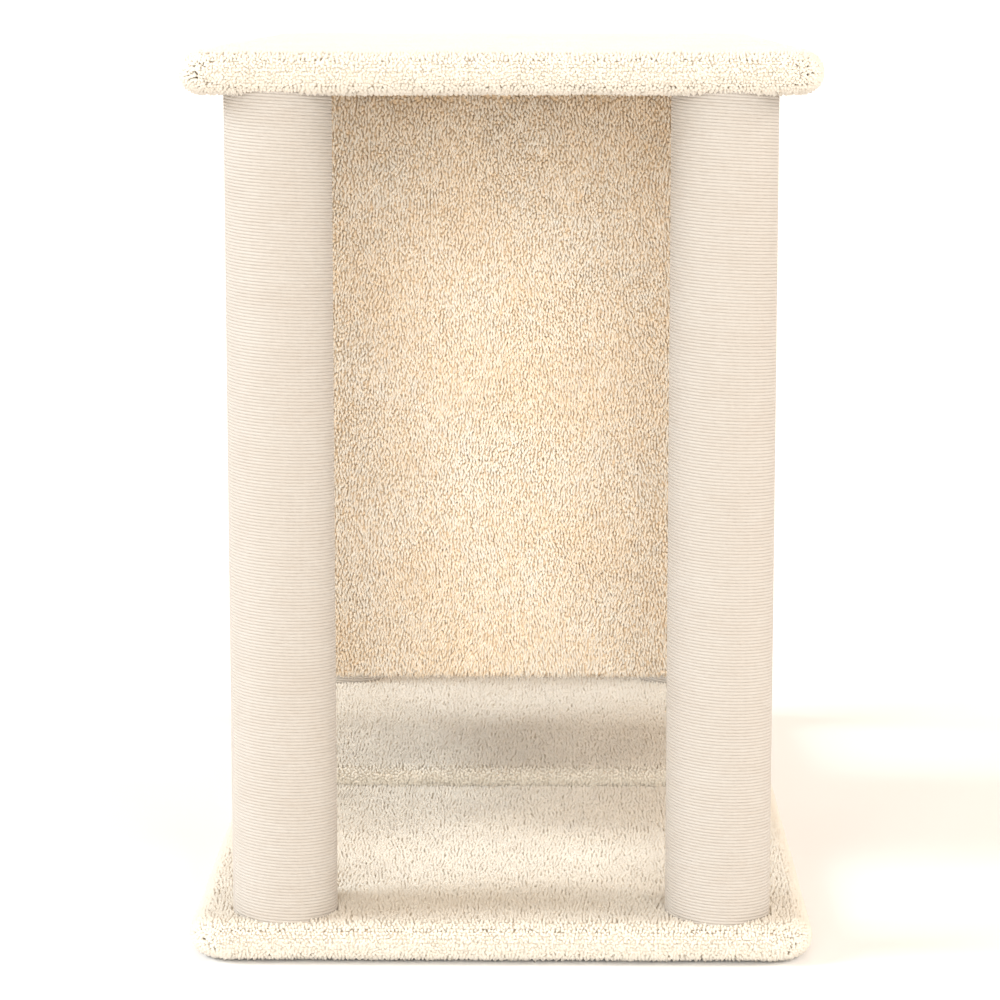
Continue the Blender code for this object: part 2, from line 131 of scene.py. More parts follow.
class Nodes:
    """Adds nodes to one shader or geometry tree."""

    def __init__(self, tree: bpy.types.NodeTree) -> None:
        """Wraps the node tree to add to."""
        self.tree = tree

    def add(self, kind: str, settings: dict, inputs: dict[Union[str, int], Linked]) -> bpy.types.Node:
        """Adds a node: its settings come first, then the values or links of its sockets.

        Args:
            kind: The node's type.
            settings: The node's own properties.
            inputs: What each socket holds, by name or by place.

        Returns:
            The new node.
        """
        node = self.tree.nodes.new(kind)
        for name, value in settings.items():
            setattr(node, name, value)
        for key, value in inputs.items():
            self._fill(node.inputs[key], value)
        return node

    def value(
        self,
        kind: str,
        settings: dict,
        inputs: dict[Union[str, int], Linked],
        output: Union[str, int] = 0,
    ) -> Value:
        """Adds a node as add does, and returns one of its outputs, given by name or by place."""
        return Value(self, self.add(kind, settings, inputs).outputs[output])

    def mix(self, factor: Number, first: Linked, second: Linked) -> Value:
        """Returns the first colour where the factor is 0, and the second where it is 1."""
        inputs = {0: factor, 6: first, 7: second}
        return self.value("ShaderNodeMix", {"data_type": "RGBA"}, inputs, 2)

    def noise(self, place: Value, size: float, detail: float = 2.0, output: str = "Fac") -> Value:
        """Returns noise whose blotches are about size metres wide: one number, or three from "Color"."""
        inputs = {"Vector": place, "Scale": 1.0 / size, "Detail": detail, "Roughness": 0.55}
        return self.value("ShaderNodeTexNoise", {"noise_dimensions": "3D"}, inputs, output)

    def vector(self, operation: str, inputs: dict, output: Union[str, int] = 0) -> Value:
        """Adds a Vector Math node and returns its result."""
        return self.value("ShaderNodeVectorMath", {"operation": operation}, inputs, output)

    def _fill(self, socket: bpy.types.NodeSocket, value: Linked) -> None:
        """Links a socket or sets its value."""
        if isinstance(value, Value):
            self.tree.links.new(value.socket, socket)
        elif isinstance(value, bpy.types.NodeSocket):
            self.tree.links.new(value, socket)
        elif isinstance(value, tuple) and socket.type == "RGBA":
            socket.default_value = (*value[:3], 1.0)
        else:
            socket.default_value = value


class Surface(Nodes):
    """A material's tree: one Principled shader and what feeds it."""

    def __init__(self, name: str) -> None:
        """Makes a material of the given name."""
        self.material = bpy.data.materials.new(name)
        self.material.use_nodes = True
        super().__init__(self.material.node_tree)
        self.tree.nodes.clear()
        output = self.tree.nodes.new("ShaderNodeOutputMaterial")
        self.shader = self.tree.nodes.new("ShaderNodeBsdfPrincipled")
        self.tree.links.new(self.shader.outputs["BSDF"], output.inputs["Surface"])
        coordinates = self.tree.nodes.new("ShaderNodeTexCoord")
        self.place = Value(self, coordinates.outputs["Object"])

    def feed(self, **sockets: Linked) -> None:
        """Fills the shader's sockets, named with underscores for spaces."""
        for name, value in sockets.items():
            self._fill(self.shader.inputs[name.replace("_", " ")], value)

    def stretched(self, scale: Corner) -> Value:
        """Returns the object's coordinates, each multiplied by its own scale."""
        return self.value("ShaderNodeMapping", {"vector_type": "POINT"}, {0: self.place, 3: scale})

    def attribute(self, name: str, output: str = "Fac") -> Value:
        """Returns a number or a vector stored on the piece's mesh."""
        settings = {"attribute_name": name, "attribute_type": "GEOMETRY"}
        return self.value("ShaderNodeAttribute", settings, {}, output)

    def brushed(self, evenness: float) -> Value:
        """Returns the normal, turned towards the way that the pile under it stands."""
        lay = self.vector("SCALE", {0: self.attribute("lay", "Vector"), "Scale": evenness})
        facing = self.value("ShaderNodeNewGeometry", {}, {}, "Normal")
        return self.vector("NORMALIZE", {0: self.vector("ADD", {0: lay, 1: facing})})

    def bump(self, height: Value, strength: float, distance: float, **normal: Value) -> None:
        """Feeds the shader's normal from a height between 0 and 1, which stands for a distance in metres."""
        inputs = {"Strength": strength, "Distance": distance, "Height": height, **normal}
        self.feed(Normal=self.value("ShaderNodeBump", {}, inputs))


@dataclass(frozen=True)
class PlushFinish:
    """Cut pile with painted shade: darker towards the roots, deep between the tufts where shade falls, and
    lighter at their tips, with random clouds of painted nap shading, lighter and darker.
    """

    name: str
    tip: Colour = (0.945, 0.885, 0.785)
    # Colour at the tufts' roots: painted shade, darker deep in the pile where shade falls.
    root: Colour = (0.92, 0.83, 0.70)
    # Size and depth of random clouds of painted nap shading, lighter and darker.
    shade_cloud_size: float = 0.045
    shade_cloud_depth: float = 0.22
    clump_size: float = 0.0065
    clump_depth: float = 0.30
    tuft_depth: float = 0.40
    tip_depth: float = 1.2
    fibre_size: float = 0.0009
    fibre_height: float = 0.0006
    evenness: float = 1.5

    def material(self) -> bpy.types.Material:
        """Builds and returns the plush material."""
        surface = Surface(self.name)
        height = surface.attribute("tip")
        shade = surface.attribute("tuft")
        # Painted nap shading: random clouds, lighter and darker.
        cloud = surface.noise(surface.place, self.shade_cloud_size, 3.0)
        clump = surface.noise(surface.place, self.clump_size, 1.0)
        # Painted shade: the colour runs from the darker root colour low in each tuft to the tip colour at
        # its top.
        light = height * self.tip_depth - 0.1
        light = light + (shade - 0.5) * self.tuft_depth
        light = light + (cloud - 0.5) * self.shade_cloud_depth
        light = light + (clump - 0.5) * self.clump_depth
        colour = surface.mix(light.clamped(), self.root, self.tip)
        fibre = surface.noise(surface.place, self.fibre_size, 2.0)
        surface.feed(Base_Color=colour, Roughness=0.95, Sheen_Weight=0.35, Sheen_Roughness=0.5)
        surface.feed(Sheen_Tint=(1.0, 0.96, 0.9), Specular_IOR_Level=0.15)
        surface.bump(fibre, 0.35, self.fibre_height, Normal=surface.brushed(self.evenness))
        return surface.material


@dataclass(frozen=True)
class WebbingFinish:
    """Spun cream yarn: fine fibres along each strand, yarn that varies a little in colour, and painted shade
    in the grooves between the strands.
    """

    name: str
    light: Colour = (0.585, 0.555, 0.515)
    dark: Colour = (0.515, 0.455, 0.395)
    fibre_size: float = 0.0007
    fibre_height: float = 0.0003
    patch_size: float = 0.030
    patch_depth: float = 0.55
    yarn_size: float = 0.009
    yarn_depth: float = 0.5
    groove_shade_depth: float = 0.35

    def material(self) -> bpy.types.Material:
        """Builds and returns the webbing material."""
        surface = Surface(self.name)
        patch = surface.noise(surface.stretched((1.0, 1.0, 2.5)), self.patch_size, 3.0)
        yarn = surface.noise(surface.stretched((1.0, 1.0, 8.0)), self.yarn_size, 1.0)
        groove_shade = surface.attribute("groove_shade")
        light = 0.62 + (patch - 0.5) * self.patch_depth + (yarn - 0.5) * self.yarn_depth
        # Painted shade: darker deep in the grooves between the strands.
        light = light - groove_shade * self.groove_shade_depth
        fibre = surface.noise(surface.stretched((1.0, 1.0, 1.8)), self.fibre_size, 2.0)
        surface.feed(Base_Color=surface.mix(light.clamped(), self.dark, self.light))
        surface.feed(Roughness=0.85, Sheen_Weight=0.25, Sheen_Roughness=0.5, Specular_IOR_Level=0.25)
        surface.bump(fibre, 0.4, self.fibre_height)
        return surface.material


@dataclass(frozen=True)
class ClothFinish:
    """Flat cloth without pile: a short-nap lining or a pressed non-woven sheet."""

    name: str
    light: Colour
    dark: Colour
    grain_size: float
    grain_height: float

    def material(self) -> bpy.types.Material:
        """Builds and returns the cloth material."""
        surface = Surface(self.name)
        grain = surface.noise(surface.place, self.grain_size, 3.0)
        cloud = surface.noise(surface.place, 0.05, 2.0)
        light = 0.5 + (grain - 0.5) * 0.9 + (cloud - 0.5) * 0.7
        surface.feed(Base_Color=surface.mix(light.clamped(), self.dark, self.light))
        surface.feed(Roughness=0.95, Sheen_Weight=0.2, Specular_IOR_Level=0.15)
        surface.bump(grain, 0.6, self.grain_height)
        return surface.material


@dataclass(frozen=True)
class HardFinish:
    """Zinc-plated steel, engineered wood, tube card or moulded plastic."""

    name: str
    pattern: Pattern
    light: Colour
    dark: Colour
    roughness: float
    metallic: float = 0.0

    def material(self) -> bpy.types.Material:
        """Builds and returns the material for this finish's pattern."""
        surface = Surface(self.name)
        grain, size = self._grain(surface)
        surface.feed(Base_Color=surface.mix(grain.clamped(), self.dark, self.light))
        surface.feed(Metallic=self.metallic, Roughness=(self.roughness + (grain - 0.5) * 0.12).clamped())
        surface.bump(grain, 0.3, size * 0.1)
        return surface.material

    def _grain(self, surface: Surface) -> tuple[Value, float]:
        """Returns the pattern, and the size of its grain in metres."""
        if self.pattern is Pattern.SPANGLE:
            cells = {"Vector": surface.place, "Scale": 1.0 / 0.0022}
            spangle = surface.value("ShaderNodeTexVoronoi", {"feature": "F1"}, cells, "Distance")
            return spangle * 0.7 + surface.noise(surface.place, 0.004) * 0.5, 0.0004
        if self.pattern is Pattern.CHIPS:
            chips = surface.noise(surface.stretched((1.0, 0.45, 1.6)), 0.0025, 4.0)
            return (chips - 0.5) * 1.8 + 0.5, 0.001
        if self.pattern is Pattern.CARD:
            layers = surface.noise(surface.stretched((1.0, 1.0, 0.2)), 0.002, 3.0)
            return (layers - 0.5) * 1.2 + 0.5, 0.0006
        return surface.noise(surface.place, 0.0012, 2.0), 0.0004


def add_object(name: str, mesh: bpy.types.Mesh) -> bpy.types.Object:
    """Puts a mesh in the scene as an object at the origin, and returns it."""
    obj = bpy.data.objects.new(name, mesh)
    bpy.context.scene.collection.objects.link(obj)
    return obj


def object_of(name: str, shape: bmesh.types.BMesh) -> bpy.types.Object:
    """Turns a bmesh into an object and frees it."""
    mesh = bpy.data.meshes.new(name)
    shape.to_mesh(mesh)
    shape.free()
    return add_object(name, mesh)


def discard(obj: bpy.types.Object) -> None:
    """Removes a helper object and its mesh."""
    mesh = obj.data
    bpy.data.objects.remove(obj)
    bpy.data.meshes.remove(mesh)


def baked(obj: bpy.types.Object) -> bpy.types.Object:
    """Turns an object's modifiers into plain mesh, and returns the object."""
    graph = bpy.context.evaluated_depsgraph_get()
    mesh = bpy.data.meshes.new_from_object(obj.evaluated_get(graph))
    old = obj.data
    obj.modifiers.clear()
    obj.data = mesh
    bpy.data.meshes.remove(old)
    return obj


def joined(name: str, parts: list[bpy.types.Object]) -> bpy.types.Object:
    """Joins objects at the origin into the first of them, and returns it under its new name."""
    first = parts[0]
    chosen = {"selected_objects": parts, "selected_editable_objects": parts}
    with bpy.context.temp_override(active_object=first, object=first, **chosen):
        bpy.ops.object.join()
    first.name = name
    first.data.name = name
    return first


def points_of(mesh: bpy.types.Mesh) -> np.ndarray:
    """Returns a mesh's points as rows of x, y and z."""
    points = np.empty(len(mesh.vertices) * 3, np.float32)
    mesh.vertices.foreach_get("co", points)
    return points.reshape(-1, 3)


def set_points(mesh: bpy.types.Mesh, points: np.ndarray) -> None:
    """Moves a mesh's points to the given rows of x, y and z."""
    mesh.vertices.foreach_set("co", points.astype(np.float32).ravel())
    mesh.update()


def keep_above(obj: bpy.types.Object, height: float) -> None:
    """Lifts every point that lies under a height up to it."""
    points = points_of(obj.data)
    points[:, 2] = np.maximum(points[:, 2], height)
    set_points(obj.data, points)


@dataclass(frozen=True)
class Slab:
    """A block with rounded upright, top and bottom edges, whose flats are split into cells."""

    low: Union[Vector, Corner]
    high: Union[Vector, Corner]
    corner: float = 0.0
    top_edge: float = 0.0
    bottom_edge: float = 0.0
    segments: int = 6
    cell: float = 0.0
    inward: bool = False

    def build(self, name: str) -> bpy.types.Object:
        """Makes the block as an object.

        Args:
            name: The object's name.

        Returns:
            The object.
        """
        shape = bmesh.new()
        bmesh.ops.create_cube(shape, size=1.0)
        for vertex in shape.verts:
            for axis in range(3):
                side = self.high if vertex.co[axis] > 0 else self.low
                vertex.co[axis] = side[axis]
        upright = [e for e in shape.edges if abs(e.verts[0].co.z - e.verts[1].co.z) > GAP]
        self._round(shape, upright, self.corner)
        for height, radius in ((self.high[2], self.top_edge), (self.low[2], self.bottom_edge)):
            level = [e for e in shape.edges if all(abs(v.co.z - height) < MERGE for v in e.verts)]
            self._round(shape, level, radius)
        if self.cell > 0:
            self._split(shape)
        bmesh.ops.recalc_face_normals(shape, faces=shape.faces)
        if self.inward:
            bmesh.ops.reverse_faces(shape, faces=shape.faces)
        for face in shape.faces:
            face.smooth = self.cell > 0
        return object_of(name, shape)

    def _round(self, shape: bmesh.types.BMesh, edges: list, radius: float) -> None:
        """Rounds edges, if the radius is above zero."""
        if radius > 0:
            settings = {"segments": self.segments, "profile": 0.5, "affect": "EDGES"}
            bmesh.ops.bevel(shape, geom=edges, offset=radius, clamp_overlap=False, **settings)

    def _split(self, shape: bmesh.types.BMesh) -> None:
        """Cuts the shape along evenly spaced planes across each of its long directions."""
        for axis in range(3):
            span = self.high[axis] - self.low[axis]
            count = int(span / self.cell)
            normal = Vector([float(i == axis) for i in range(3)])
            for index in range(1, count if count > 3 else 1):
                place = normal * (self.low[axis] + span * index / count)
                geometry = [*shape.verts, *shape.edges, *shape.faces]
                bmesh.ops.bisect_plane(shape, geom=geometry, dist=MERGE, plane_co=place, plane_no=normal)


def ruffle(obj: bpy.types.Object, height: float, length: float, seed: float) -> None:
    """Gives a skin the slight waves of pulled cloth, whose height and length are in metres."""
    mesh = obj.data
    normals = np.empty(len(mesh.vertices) * 3, np.float32)
    mesh.vertex_normals.foreach_get("vector", normals)
    points = points_of(mesh)
    start = Vector((seed, 0.0, 0.0))
    rise = [height * noise.noise(Vector(point) / length + start) for point in points]
    set_points(mesh, points + normals.reshape(-1, 3) * np.array(rise)[:, None])


def rod(name: str, radius: float, start: Vector, end: Vector, sides: int = 48) -> bpy.types.Object:
    """Makes a closed cylinder between two points.

    Args:
        name: The object's name.
        radius: The cylinder's radius.
        start: The middle of one end.
        end: The middle of the other end.
        sides: How many sides it has.

    Returns:
        The object.
    """
    axis = end - start
    shape = bmesh.new()
    ends = {"radius1": radius, "radius2": radius, "depth": axis.length}
    bmesh.ops.create_cone(shape, cap_ends=True, segments=sides, **ends)
    turn = axis.to_track_quat("Z", "Y").to_matrix().to_4x4()
    turn.translation = (start + end) / 2
    shape.transform(turn)
    return object_of(name, shape)


def spun(
    name: str, outline: list[tuple[float, float]], centre: Vector, axis: Vector, steps: int
) -> bpy.types.Object:
    """Turns an outline once round an axis.

    Args:
        name: The object's name.
        outline: Points as (distance from the axis, distance along it). A closed one ends where it starts.
        centre: A point on the axis, where the distance along it is zero.
        axis: The axis's direction.
        steps: How many steps the turn has.

    Returns:
        The object.
    """
    shape = bmesh.new()
    side = axis.orthogonal().normalized()
    points = [shape.verts.new(centre + side * out + axis * along) for out, along in outline]
    edges = [shape.edges.new(pair) for pair in zip(points, points[1:])]
    geometry = [*points, *edges]
    bmesh.ops.spin(shape, geom=geometry, cent=centre, axis=axis, angle=math.tau, steps=steps)
    bmesh.ops.remove_doubles(shape, verts=shape.verts, dist=MERGE)
    bmesh.ops.recalc_face_normals(shape, faces=shape.faces)
    for face in shape.faces:
        face.smooth = True
    return object_of(name, shape)


def carve(target: bpy.types.Object, tools: list[bpy.types.Object], operation: str = "DIFFERENCE") -> None:
    """Cuts a shape with others, or joins them to it by UNION. The others are used up."""
    for tool in tools:
        modifier = target.modifiers.new("carve", "BOOLEAN")
        modifier.operation = operation
        modifier.solver = "EXACT"
        modifier.object = tool
        baked(target)
        discard(tool)


class GeometryTree(Nodes):
    """A Geometry Nodes tree with named inputs."""

    def __init__(self, name: str) -> None:
        """Makes an empty tree with a geometry input and output."""
        super().__init__(bpy.data.node_groups.new(name, "GeometryNodeTree"))
        for way in ("INPUT", "OUTPUT"):
            self.tree.interface.new_socket("Geometry", in_out=way, socket_type="NodeSocketGeometry")
        self.inlet = self.tree.nodes.new("NodeGroupInput")
        self.identifiers: dict[str, str] = {}

    def ask(self, name: str, kind: str = "NodeSocketFloat") -> Value:
        """Adds a named input and returns it."""
        socket = self.tree.interface.new_socket(name, in_out="INPUT", socket_type=kind)
        self.identifiers[name] = socket.identifier
        return Value(self, self.inlet.outputs[name])

    def random(self, low: float, high: float, seed: Number) -> Value:
        """Returns a random number for each point or copy."""
        inputs = {2: low, 3: high, "Seed": seed}
        return self.value("FunctionNodeRandomValue", {"data_type": "FLOAT"}, inputs, 1)

    def store(
        self, geometry: Value, name: str, number: Value, domain: str = "POINT", kind: str = "FLOAT"
    ) -> Value:
        """Stores a number or a vector on each element of a geometry, under a name."""
        settings = {"data_type": kind, "domain": domain}
        inputs = {"Geometry": geometry, "Name": name, "Value": number}
        return self.value("GeometryNodeStoreNamedAttribute", settings, inputs)

    def finish(self, geometry: Value, material: bpy.types.Material) -> None:
        """Ends the tree in realised, smooth-shaded instances with a material."""
        smooth = self.value("GeometryNodeSetShadeSmooth", {}, {"Geometry": geometry})
        real = self.value("GeometryNodeRealizeInstances", {}, {"Geometry": smooth})
        dressed = self.value("GeometryNodeSetMaterial", {}, {"Geometry": real, "Material": material})
        outlet = self.tree.nodes.new("NodeGroupOutput")
        self.tree.links.new(dressed.socket, outlet.inputs["Geometry"])

    def run(self, name: str, mesh: bpy.types.Mesh, sizes: dict[str, Linked]) -> bpy.types.Object:
        """Runs the tree on a mesh and returns the result as a plain mesh object.

        Args:
            name: The name of the result.
            mesh: The mesh that the tree starts from, which is left as it is.
            sizes: What each named input is set to.

        Returns:
            The result.
        """
        obj = add_object(name, mesh.copy())
        modifier = obj.modifiers.new("grow", "NODES")
        modifier.node_group = self.tree
        for key, value in sizes.items():
            modifier[self.identifiers[key]] = value
        return baked(obj)


class PileTree(GeometryTree):
    """Grows tufts over the faces of a skin that look one way, clear of what stands on it."""

    CLUMP = 0.0065
    CLOUD = 0.050
    SUNK = 0.12
    TRIES = 8.0

    def __init__(self, material: bpy.types.Material) -> None:
        """Builds the tree for one plush material."""
        super().__init__("pile")
        spacing, length, width, lean = (self.ask(n) for n in ("Spacing", "Length", "Width", "Lean"))
        nap = self.ask("Nap", "NodeSocketVector")
        seed = self.ask("Seed", "NodeSocketInt")
        skin = {"Mesh": self.inlet.outputs["Geometry"], "Selection": self._looking(), "Seed": seed}
        skin |= {"Distance Min": spacing, "Density Max": self.TRIES / (spacing * spacing)}
        poisson = {"distribute_method": "POISSON"}
        grown = self.add("GeometryNodeDistributePointsOnFaces", poisson, skin)
        self.place = self.value("GeometryNodeInputPosition", {}, {})
        bare = {"Geometry": grown.outputs["Points"], "Selection": self._covered()}
        points = self.value("GeometryNodeDeleteGeometry", {"domain": "POINT"}, bare)
        drifts = {0: self._drift(self.CLUMP, lean), 1: self._drift(self.CLOUD, lean)}
        drift = self.vector("ADD", drifts)
        lay = self.vector("ADD", {0: grown.outputs["Normal"], 1: drift})
        aim = self.vector("ADD", {0: lay, 1: nap})
        spin = self.value("ShaderNodeCombineXYZ", {}, {"Z": self.random(0.0, math.tau, seed)})
        turned = self.value("FunctionNodeEulerToRotation", {}, {0: spin})
        upright = {"Rotation": turned, "Vector": aim}
        facing = self.value("FunctionNodeAlignRotationToVector", {"axis": "Z"}, upright)
        clump = self.noise(self.place, self.CLUMP, 1.0)
        uneven = self.ask("Uneven")
        height = length * self.random(0.85, 1.12, seed + 1) * (1.0 + (clump - 0.5) * uneven)
        girth = width * self.random(0.85, 1.2, seed + 2)
        size = self.value("ShaderNodeCombineXYZ", {}, {"X": girth, "Y": girth, "Z": height})
        tufts = {"Points": points, "Instance": self._tuft(), "Rotation": facing, "Scale": size}
        copies = self.value("GeometryNodeInstanceOnPoints", {}, tufts)
        shade = self.random(0.0, 1.0, seed + 3)
        copies = self.store(copies, "tuft", shade, "INSTANCE")
        self.finish(self.store(copies, "lay", lay, "INSTANCE", "FLOAT_VECTOR"), material)

    def _drift(self, size: float, amount: Number) -> Value:
        """Returns a vector that changes direction over the given distance, about as long as amount."""
        colour = self.noise(self.place, size, 1.0, "Color")
        centred = self.vector("SUBTRACT", {0: colour, 1: (0.5, 0.5, 0.5)})
        return self.vector("SCALE", {0: centred, "Scale": amount})

    def _looking(self) -> Value:
        """Returns 1 on the faces whose normal makes the right angle with the facing direction."""
        facing = self.ask("Facing", "NodeSocketVector")
        normal = self.value("GeometryNodeInputNormal", {}, {})
        along = self.vector("DOT_PRODUCT", {0: normal, 1: facing}, "Value")
        return along.above(self.ask("Least")) * along.below(self.ask("Most"))

    def _covered(self) -> Value:
        """Returns above 0 under a post, in the clear box and in the entrances."""
        spot = self.add("ShaderNodeSeparateXYZ", {}, {0: self.place})
        x, y, z = (Value(self, spot.outputs[axis]) for axis in "XYZ")
        across = x.magnitude() - self.ask("Post X")
        along = y.magnitude() - self.ask("Post Y")
        radius = self.ask("Post Radius")
        hidden = (across * across + along * along).below(radius * radius)
        inside = 1.0
        for axis, name in ((x, "X"), (y, "Y"), (z, "Z")):
            low, high = self.ask(f"Clear {name} From"), self.ask(f"Clear {name} To")
            inside = axis.above(low) * axis.below(high) * inside
        drop = z - self.ask("Entrance Height")
        entrance = self.ask("Entrance Radius")
        return hidden + inside + (y * y + drop * drop).below(entrance * entrance)

    def _tuft(self) -> Value:
        """Makes one tuft: a closed three-sided spike, one unit high, with its height stored on it."""
        sizes = {"Vertices": 3, "Side Segments": 1, "Radius Top": 0.0, "Radius Bottom": 0.5, "Depth": 1.0}
        spike = self.value("GeometryNodeMeshCone", {"fill_type": "NGON"}, sizes)
        place = self.value("GeometryNodeInputPosition", {}, {})
        marked = self.store(spike, "tip", self.value("ShaderNodeSeparateXYZ", {}, {0: place}, "Z"))
        sunk = {"Geometry": marked, "Translation": (0.0, 0.0, -self.SUNK)}
        return self.value("GeometryNodeTransform", {}, sunk)


class WindingTree(GeometryTree):
    """Winds several strands side by side round an upright post."""

    OVERLAP = 0.54

    def __init__(self, material: bpy.types.Material) -> None:
        """Builds the tree for one webbing material."""
        super().__init__("winding")
        radius, pitch, turns, bulge = (self.ask(n) for n in ("Radius", "Pitch", "Turns", "Bulge"))
        strands = self.ask("Strands", "NodeSocketInt")
        steps = self.ask("Steps", "NodeSocketInt")
        helix = {"Resolution": steps, "Rotations": turns, "Start Radius": radius, "End Radius": radius}
        helix["Height"] = turns * pitch * strands
        coil = self.value("GeometryNodeCurveSpiral", {}, helix)
        upright = self.value("GeometryNodeSetCurveNormal", {"mode": "Z_UP"}, {"Curve": coil})
        ring = {"Resolution": 6, "Radius": 1.0}
        circle = self.value("GeometryNodeCurvePrimitiveCircle", {"mode": "RADIUS"}, ring)
        half_width = pitch * self.OVERLAP
        flat = self.value("ShaderNodeCombineXYZ", {}, {"X": bulge, "Y": half_width, "Z": 1.0})
        section = self.value("GeometryNodeTransform", {}, {"Geometry": circle, "Scale": flat})
        strip = {"Curve": upright, "Profile Curve": section, "Fill Caps": True}
        strand = self.value("GeometryNodeCurveToMesh", {}, strip)
        place = self.value("GeometryNodeInputPosition", {}, {})
        level = self.vector("MULTIPLY", {0: place, 1: (1.0, 1.0, 0.0)})
        out = self.vector("LENGTH", {0: level}, "Value")
        # Stores how deep each point lies between the strands, for the painted groove shade.
        marked = self.store(strand, "groove_shade", ((radius + bulge - out) / bulge).clamped())
        step = self.value("ShaderNodeCombineXYZ", {}, {"Z": pitch})
        row = {"Count": strands, "Offset": step}
        line = self.value("GeometryNodeMeshLine", {"mode": "OFFSET"}, row)
        copies = {"Points": line, "Instance": marked}
        self.finish(self.value("GeometryNodeInstanceOnPoints", {}, copies), material)


class StapleTree(GeometryTree):
    """Sets staples end to end along a line."""

    def __init__(self, material: bpy.types.Material) -> None:
        """Builds the tree for staples of one material."""
        super().__init__("staples")
        spacing, wire, crown = (self.ask(n) for n in ("Spacing", "Wire", "Crown"))
        path = self.value("GeometryNodeMeshToCurve", {}, {"Mesh": self.inlet.outputs["Geometry"]})
        apart = {"Curve": path, "Length": spacing}
        spots = self.add("GeometryNodeCurveToPoints", {"mode": "LENGTH"}, apart)
        sizes = {"Vertices": 8, "Radius": wire, "Depth": crown}
        bar = self.value("GeometryNodeMeshCylinder", {"fill_type": "NGON"}, sizes)
        points, turns = (spots.outputs[name] for name in ("Points", "Rotation"))
        row = {"Points": points, "Instance": bar, "Rotation": turns}
        self.finish(self.value("GeometryNodeInstanceOnPoints", {}, row), material)


class Side(Enum):
    """The faces of a skin that one bed of pile covers: a direction, and how near a normal is to it."""

    TOP = ((0.0, 0.0, 1.0), 0.95, 2.0)
    RIM = ((0.0, 0.0, 1.0), -0.95, 0.95)
    UNDER = ((0.0, 0.0, 1.0), -2.0, -0.95)
    FRONT = ((0.0, -1.0, 0.0), 0.7072, 2.0)
    REAR = ((0.0, 1.0, 0.0), 0.7072, 2.0)
    LEFT = ((-1.0, 0.0, 0.0), 0.7072, 2.0)
    RIGHT = ((1.0, 0.0, 0.0), 0.7072, 2.0)
    BOTTOM = ((0.0, 0.0, -1.0), 0.5, 2.0)
    ALL = ((0.0, 0.0, 1.0), -2.0, 2.0)


NOWHERE = 9.0
SHORT = {"spacing": 0.0015, "length": 0.0021, "width": 0.0041, "lean": 0.3}
HANGING = {"spacing": 0.0015, "length": 0.0024, "width": 0.0041, "nap": (0.0, 0.0, -0.4)}
LONG = {"spacing": 0.0015, "length": 0.0042, "width": 0.0034, "nap": (0.0, 0.0, -0.9), "uneven": 0.7}
THIN = {"spacing": 0.0026, "width": 0.0056}
SPARSE = {"spacing": 0.0030, "width": 0.0064}
NAP = {"spacing": 0.0030, "length": 0.0020, "width": 0.0064}


@dataclass(frozen=True)
class Pile:
    """One bed of cut pile and what it keeps clear of."""

    side: Side
    spacing: float = 0.0018
    length: float = 0.0027
    width: float = 0.0041
    lean: float = 0.6
    uneven: float = 0.35
    nap: Corner = (0.0, 0.0, 0.0)
    seed: int = 1
    posts: tuple[float, float, float] = (NOWHERE, NOWHERE, 0.0)
    clear_low: Corner = (NOWHERE,) * 3
    clear_high: Corner = (NOWHERE,) * 3
    entrance: tuple[float, float] = (NOWHERE, 0.0)

    def grow(self, tree: PileTree, name: str, skin: bpy.types.Object) -> bpy.types.Object:
        """Grows the tufts over a skin.

        Args:
            tree: The tree that grows them.
            name: The name of the result.
            skin: The skin that they stand on.

        Returns:
            The tufts as one object.
        """
        plain = ("spacing", "length", "width", "lean", "uneven", "nap", "seed")
        sizes = {name.capitalize(): getattr(self, name) for name in plain}
        sizes |= zip(("Facing", "Least", "Most"), self.side.value)
        sizes |= zip(("Post X", "Post Y", "Post Radius"), self.posts)
        sizes |= zip(("Entrance Height", "Entrance Radius"), self.entrance)
        for axis, low, high in zip("XYZ", self.clear_low, self.clear_high):
            sizes[f"Clear {axis} From"] = low
            sizes[f"Clear {axis} To"] = high
        return tree.run(name, skin.data, sizes)


def dress(obj: bpy.types.Object, material: bpy.types.Material) -> None:
    """Gives an object one material."""
    obj.data.materials.clear()
    obj.data.materials.append(material)


